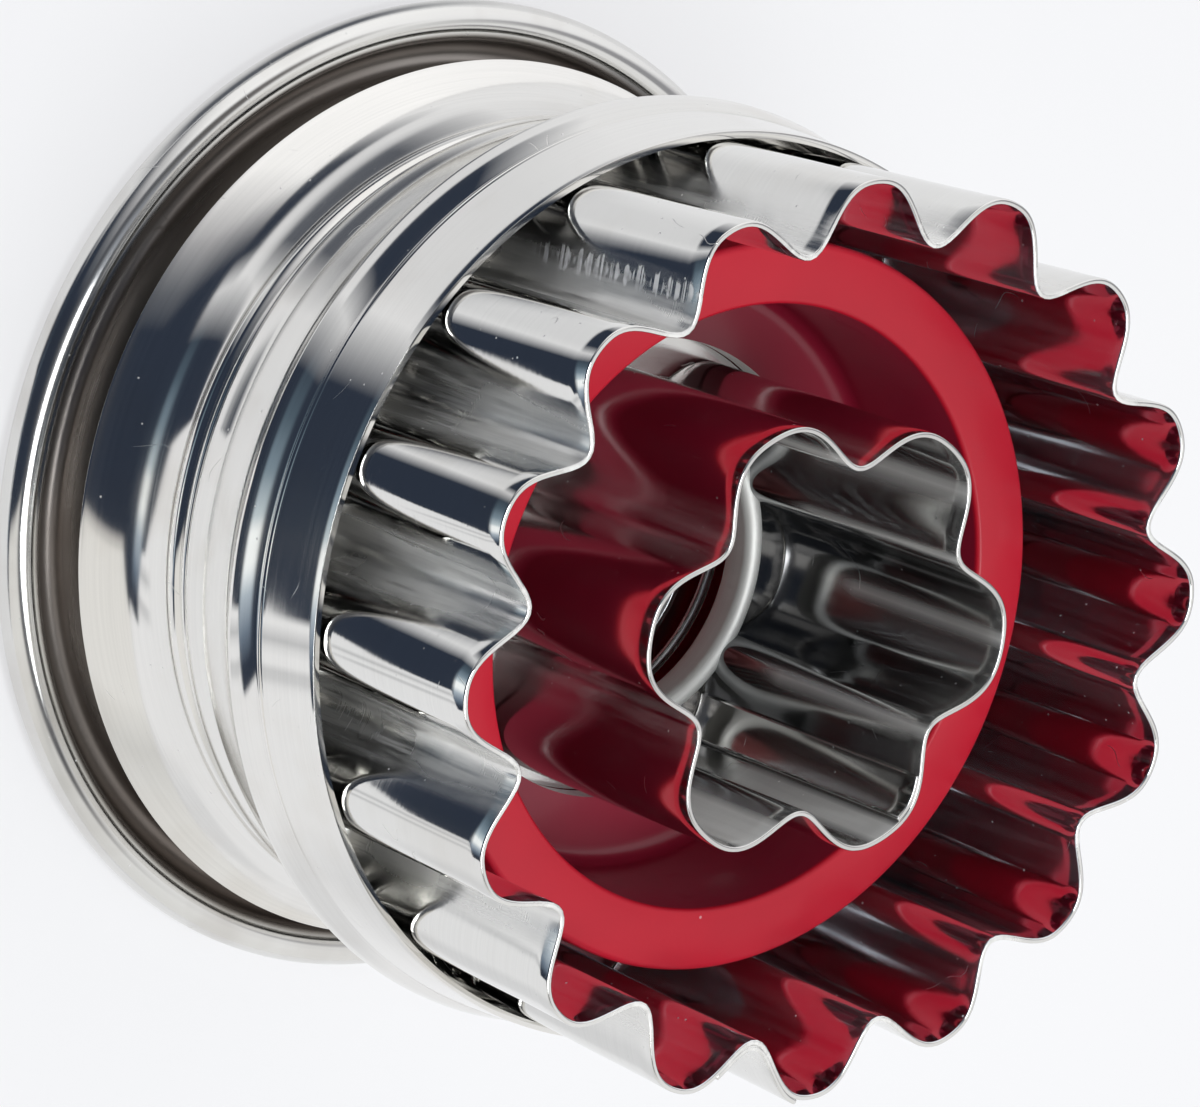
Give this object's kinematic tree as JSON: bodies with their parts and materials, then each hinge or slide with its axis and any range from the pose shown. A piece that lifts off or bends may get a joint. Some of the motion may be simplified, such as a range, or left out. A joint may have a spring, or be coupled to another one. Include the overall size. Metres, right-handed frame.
{
  "type": "sprung cookie cutter",
  "caption": "Round fluted cookie cutter with a petal-shaped inner cutter, a sprung red ejector ring and a spool-shaped steel grip with a rolled rim.",
  "frame": {"origin": "centre of the foot plane under the rolled rim, on the tool's axis", "axes": "+Z along the tool's axis towards the cutting edges; the ejector moves towards +Z; X and Y are across the tool"},
  "size_m": [0.0538, 0.0538, 0.0374],
  "materials": {
    "housing_steel": "polished drawn stainless sheet",
    "strip_steel": "bright rolled stainless strip",
    "bridge_steel": "plain stainless sheet with weld tarnish",
    "spring_wire": "drawn spring wire",
    "red_plastic": "satin red moulding"
  },
  "bodies": {
    "housing": {"barrel": "housing_steel", "finger_rim": "housing_steel", "outer_cutter": "strip_steel", "inner_cutter": "strip_steel", "sleeve": "bridge_steel", "bridge_plate": "bridge_steel", "return_spring": "spring_wire"},
    "ejector": {"ejector_ring": "red_plastic", "thumb_button": "red_plastic"}
  },
  "joints": [
    {"name": "ejector_slide", "type": "slide", "parent": "housing", "child": "ejector", "axis": [0, 0, 1], "range_m": [0, 0.008], "stiffness_N_per_m": 500, "springref_m": -0.004, "deforming": ["return_spring"]}
  ]
}
